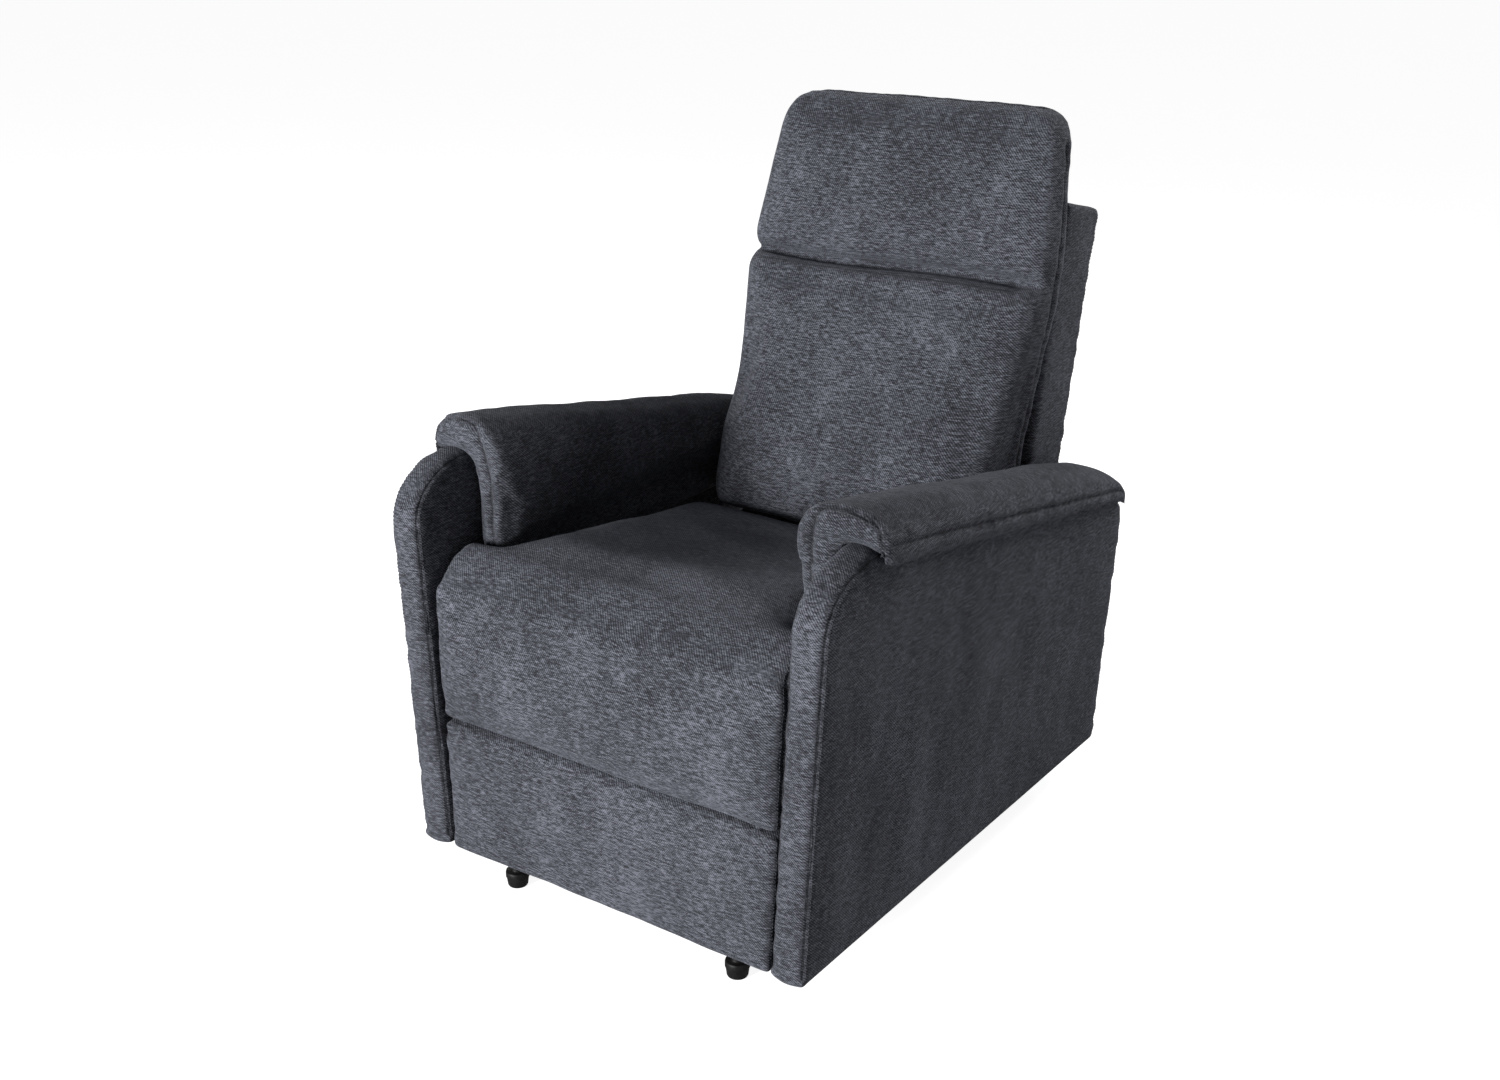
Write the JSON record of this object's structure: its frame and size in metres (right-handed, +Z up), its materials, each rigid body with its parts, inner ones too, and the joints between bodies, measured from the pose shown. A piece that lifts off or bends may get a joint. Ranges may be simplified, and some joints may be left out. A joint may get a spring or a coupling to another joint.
{
  "type": "recliner armchair",
  "caption": "Upholstered push-back recliner armchair: padded sloping arms, two-part back cushion, folding leg rest and steel linkage under the seat.",
  "frame": {"origin": "on the floor, under the middle of the chair's width and depth", "axes": "+X to the sitter's left, -Y the way the sitter faces, +Z up"},
  "size_m": [0.7752, 0.9946, 1.1192],
  "materials": {
    "upholstery": "dark blue-grey mottled chenille",
    "cushion": "dark blue-grey mottled chenille over foam",
    "timber": "unfinished plywood and softwood",
    "mechanism": "black powder coat",
    "spring_wire": "bare spring steel",
    "webbing": "woven elastic webbing",
    "foot_plastic": "black moulded plastic"
  },
  "bodies": {
    "base": {"foot_front_left": "foot_plastic", "foot_front_right": "foot_plastic", "foot_rear_left": "foot_plastic", "foot_rear_right": "foot_plastic", "base_cross_rail_front": "mechanism", "base_cross_rail_rear": "mechanism", "base_plate_left": "mechanism", "base_plate_right": "mechanism", "arm_cover_left": "upholstery", "arm_cover_right": "upholstery", "arm_frame_left": "timber", "arm_frame_right": "timber", "arm_pad_left": "cushion", "arm_pad_right": "cushion"},
    "front_swing_links": {"front_swing_link_left": "mechanism", "front_swing_link_right": "mechanism"},
    "rear_swing_links": {"rear_swing_link_left": "mechanism", "rear_swing_link_right": "mechanism"},
    "seat": {"seat_cushion": "cushion", "seat_side_rail_left": "timber", "seat_side_rail_right": "timber", "seat_front_rail": "timber", "seat_rear_rail": "timber", "seat_plate_left": "mechanism", "seat_plate_right": "mechanism", "seat_spring_1": "spring_wire", "seat_spring_2": "spring_wire", "seat_spring_3": "spring_wire", "seat_spring_4": "spring_wire"},
    "backrest": {"back_outer_cover": "upholstery", "back_post_left": "timber", "back_post_right": "timber", "back_top_rail": "timber", "back_middle_rail": "timber", "back_bottom_rail": "timber", "back_hinge_bracket_left": "mechanism", "back_hinge_bracket_right": "mechanism", "back_webbing_1": "webbing", "back_webbing_2": "webbing", "back_webbing_3": "webbing", "lumbar_cushion": "cushion", "head_cushion": "cushion"},
    "leg_rest": {"leg_rest_pad_upper": "cushion", "leg_rest_pad_lower": "cushion", "leg_rest_board": "timber", "leg_rest_bracket_left": "mechanism", "leg_rest_bracket_right": "mechanism"},
    "carrying_arms": {"carrying_arm_left": "mechanism", "carrying_arm_right": "mechanism"},
    "carrying_struts": {"carrying_strut_left": "mechanism", "carrying_strut_right": "mechanism"},
    "drive_tube": {"drive_tube": "mechanism"},
    "drive_rods": {"drive_rod_left": "mechanism", "drive_rod_right": "mechanism"}
  },
  "joints": [
    {"name": "front_link_swing", "type": "hinge", "parent": "base", "child": "front_swing_links", "pos_m": [0, -0.341, 0.176], "axis": [1, 0, 0], "range_deg": [0, 40]},
    {"name": "seat_glide", "type": "hinge", "parent": "front_swing_links", "child": "seat", "pos_m": [0, -0.307, 0.27], "axis": [-1, 0, 0], "range_deg": [0, 40]},
    {"name": "rear_link_swing", "type": "hinge", "parent": "base", "child": "rear_swing_links", "pos_m": [0, 0.069, 0.176], "axis": [1, 0, 0], "range_deg": [0, 40]},
    {"name": "back_recline", "type": "hinge", "parent": "seat", "child": "backrest", "pos_m": [0, 0.199, 0.376], "axis": [-1, 0, 0], "range_deg": [0, 32]},
    {"name": "leg_rest_lift", "type": "hinge", "parent": "seat", "child": "leg_rest", "pos_m": [0, -0.497, 0.476], "axis": [-1, 0, 0], "range_deg": [0, 84]},
    {"name": "carrying_arm_swing", "type": "hinge", "parent": "seat", "child": "carrying_arms", "pos_m": [0, -0.391, 0.346], "axis": [-1, 0, 0], "range_deg": [0, 84]},
    {"name": "carrying_strut_swing", "type": "hinge", "parent": "carrying_arms", "child": "carrying_struts", "pos_m": [0, -0.307, 0.136], "axis": [1, 0, 0], "range_deg": [0, 84]},
    {"name": "drive_tube_turn", "type": "hinge", "parent": "seat", "child": "drive_tube", "pos_m": [0, -0.161, 0.311], "axis": [-1, 0, 0], "range_deg": [0, 84]},
    {"name": "drive_rod_swing", "type": "hinge", "parent": "carrying_arms", "child": "drive_rods", "pos_m": [0, -0.3574, 0.262], "axis": [1, 0, 0], "range_deg": [0, 84]}
  ],
  "couplings": [
    {"joint": "front_link_swing", "follows": "back_recline", "ratio": 1.25},
    {"joint": "seat_glide", "follows": "back_recline", "ratio": 1.25},
    {"joint": "rear_link_swing", "follows": "back_recline", "ratio": 1.25},
    {"joint": "carrying_arm_swing", "follows": "leg_rest_lift", "ratio": 1},
    {"joint": "carrying_strut_swing", "follows": "leg_rest_lift", "ratio": 1},
    {"joint": "drive_tube_turn", "follows": "leg_rest_lift", "ratio": 1},
    {"joint": "drive_rod_swing", "follows": "leg_rest_lift", "ratio": 1}
  ]
}
